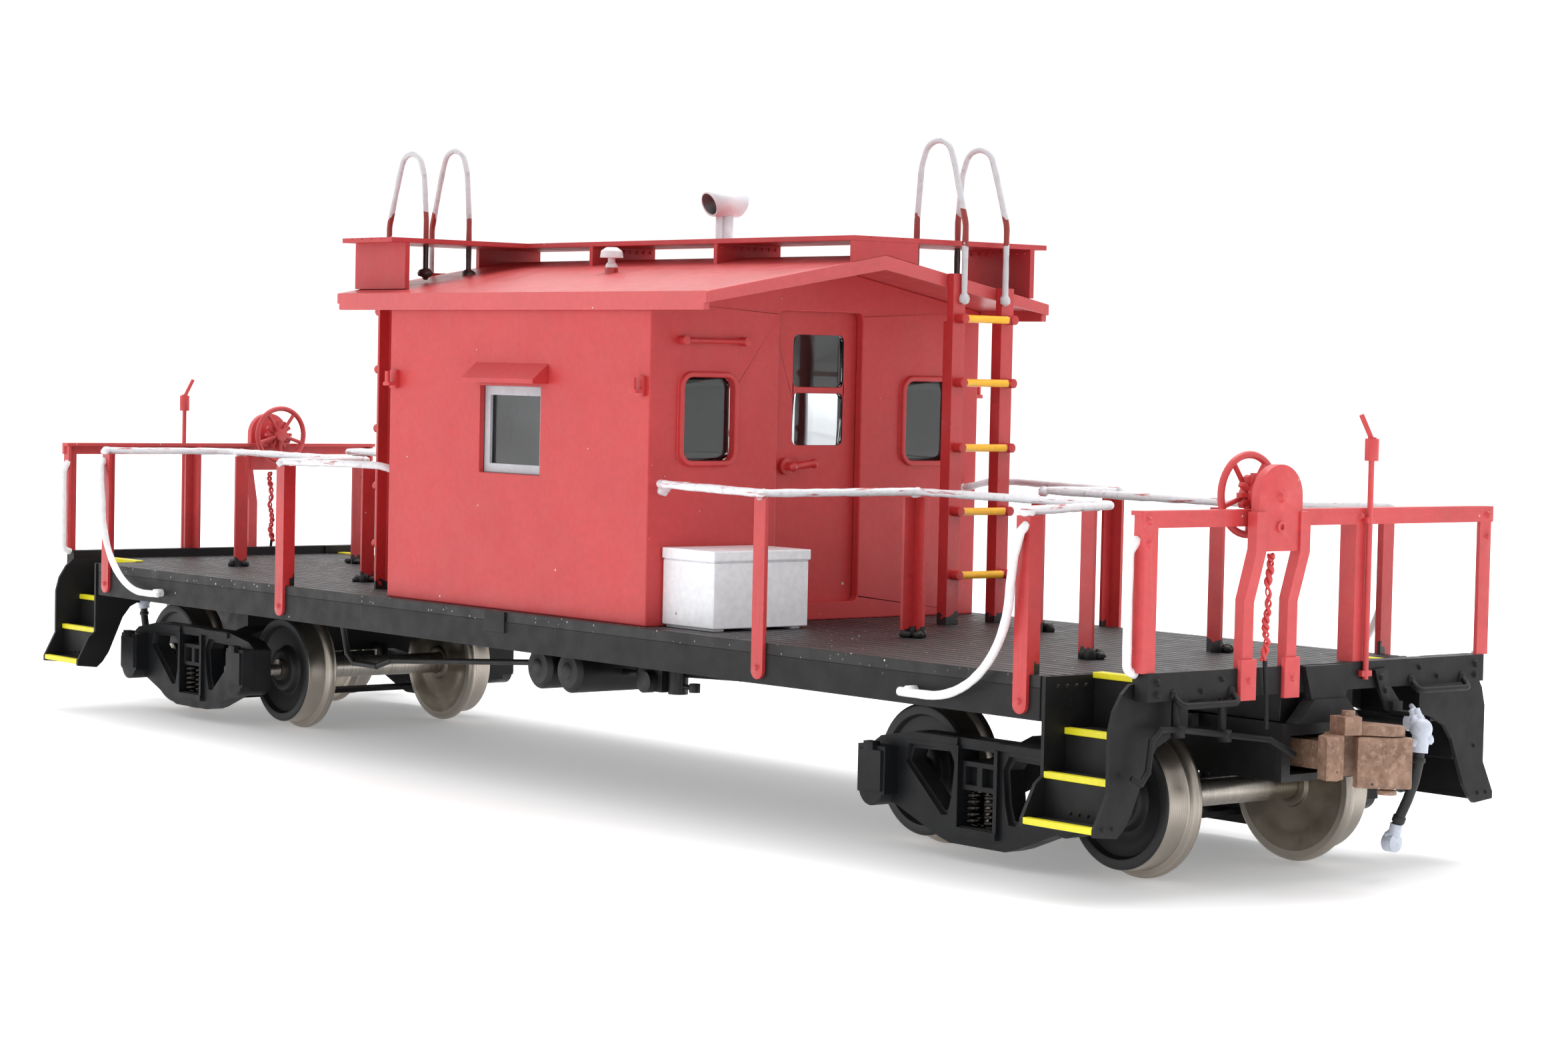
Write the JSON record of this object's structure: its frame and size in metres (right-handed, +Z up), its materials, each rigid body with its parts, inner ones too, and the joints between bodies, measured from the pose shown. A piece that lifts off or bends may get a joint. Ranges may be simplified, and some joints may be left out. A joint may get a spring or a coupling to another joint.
{
  "type": "model railway caboose",
  "caption": "Scale model transfer caboose: flat deck car with a central cabin, railings, roof ladders, corner steps, swivelling trucks and knuckle couplers.",
  "frame": {"origin": "middle of the bounding box at the bottom of the wheel flanges", "axes": "+X along the car towards end A, +Y across it, +Z up"},
  "size_m": [0.1572, 0.0398, 0.0529],
  "materials": {
    "deck_black": "matt, dusty",
    "frame_black": "matt",
    "safety_yellow": "satin",
    "cabin_red": "satin",
    "roof_red": "satin",
    "rail_red": "satin",
    "silver_paint": "satin",
    "white_paint": "satin",
    "window_glass": "clear",
    "hose_rubber": "matt",
    "rust_metal": "matt, rust coloured",
    "truck_black": "matt",
    "spring_steel": "dark",
    "wheel_metal": "turned",
    "plated_steel": "bright"
  },
  "bodies": {
    "car_body": {"deck": "deck_black", "side_sills": "frame_black", "center_sill": "frame_black", "end_beams": "frame_black", "step_wells": "frame_black", "step_treads": "frame_black", "step_nosings": "safety_yellow", "cabin_walls": "cabin_red", "end_doors": "cabin_red", "door_knobs": "cabin_red", "window_glass": "window_glass", "window_frames": "silver_paint", "window_awnings": "cabin_red", "wall_fittings": "cabin_red", "roof": "roof_red", "roof_walk": "roof_red", "walk_supports": "roof_red", "smokejack": "silver_paint", "roof_vent": "silver_paint", "ladder_stiles": "rail_red", "ladder_rungs": "safety_yellow", "ladder_arches": "silver_paint", "tool_boxes": "silver_paint", "rail_posts": "rail_red", "side_handrails": "silver_paint", "end_rails": "rail_red", "grab_irons": "white_paint", "brake_stands": "rail_red", "brake_wheels": "rail_red", "brake_chains": "rail_red", "backup_valves": "rail_red", "hose_brackets": "frame_black", "air_hoses": "hose_rubber", "hose_fittings": "silver_paint", "air_reservoirs": "frame_black", "brake_cylinder": "frame_black", "control_valve": "frame_black", "brake_pipes": "frame_black", "brake_rods": "frame_black", "uncoupling_levers": "frame_black", "draft_boxes": "frame_black", "kingpins": "plated_steel"},
    "coupler_a": {"coupler_a": "rust_metal"},
    "coupler_b": {"coupler_b": "rust_metal"},
    "knuckle_a": {"knuckle_a": "rust_metal"},
    "knuckle_b": {"knuckle_b": "rust_metal"},
    "truck_a": {"bolster_a": "truck_black", "sideframes_a": "truck_black", "springs_a": "spring_steel"},
    "truck_b": {"bolster_b": "truck_black", "sideframes_b": "truck_black", "springs_b": "spring_steel"},
    "wheelset_a1": {"wheels_a1": "wheel_metal", "axle_a1": "plated_steel"},
    "wheelset_a2": {"wheels_a2": "wheel_metal", "axle_a2": "plated_steel"},
    "wheelset_b1": {"wheels_b1": "wheel_metal", "axle_b1": "plated_steel"},
    "wheelset_b2": {"wheels_b2": "wheel_metal", "axle_b2": "plated_steel"}
  },
  "joints": [
    {"name": "truck_a_swivel", "type": "hinge", "parent": "car_body", "child": "truck_a", "pos_m": [0.0538, 0, 0.0098], "axis": [0, 0, 1], "range_deg": [-8, 8]},
    {"name": "wheelset_a1_roll", "type": "hinge", "parent": "truck_a", "child": "wheelset_a1", "pos_m": [0.0636, 0, 0.00544], "axis": [0, 1, 0], "continuous": true},
    {"name": "wheelset_a2_roll", "type": "hinge", "parent": "truck_a", "child": "wheelset_a2", "pos_m": [0.044, 0, 0.00544], "axis": [0, 1, 0], "continuous": true},
    {"name": "coupler_a_swing", "type": "hinge", "parent": "car_body", "child": "coupler_a", "pos_m": [0.0633, 0, 0.00895], "axis": [0, 0, 1], "range_deg": [-8, 8]},
    {"name": "knuckle_a_open", "type": "hinge", "parent": "coupler_a", "child": "knuckle_a", "pos_m": [0.077, 0.0017, 0.00895], "axis": [0, 0, 1], "range_deg": [0, 35]},
    {"name": "truck_b_swivel", "type": "hinge", "parent": "car_body", "child": "truck_b", "pos_m": [-0.0538, 0, 0.0098], "axis": [0, 0, 1], "range_deg": [-8, 8]},
    {"name": "wheelset_b1_roll", "type": "hinge", "parent": "truck_b", "child": "wheelset_b1", "pos_m": [-0.0636, 0, 0.00544], "axis": [0, 1, 0], "continuous": true},
    {"name": "wheelset_b2_roll", "type": "hinge", "parent": "truck_b", "child": "wheelset_b2", "pos_m": [-0.044, 0, 0.00544], "axis": [0, 1, 0], "continuous": true},
    {"name": "coupler_b_swing", "type": "hinge", "parent": "car_body", "child": "coupler_b", "pos_m": [-0.0633, 0, 0.00895], "axis": [0, 0, 1], "range_deg": [-8, 8]},
    {"name": "knuckle_b_open", "type": "hinge", "parent": "coupler_b", "child": "knuckle_b", "pos_m": [-0.077, -0.0017, 0.00895], "axis": [0, 0, 1], "range_deg": [0, 35]}
  ]
}
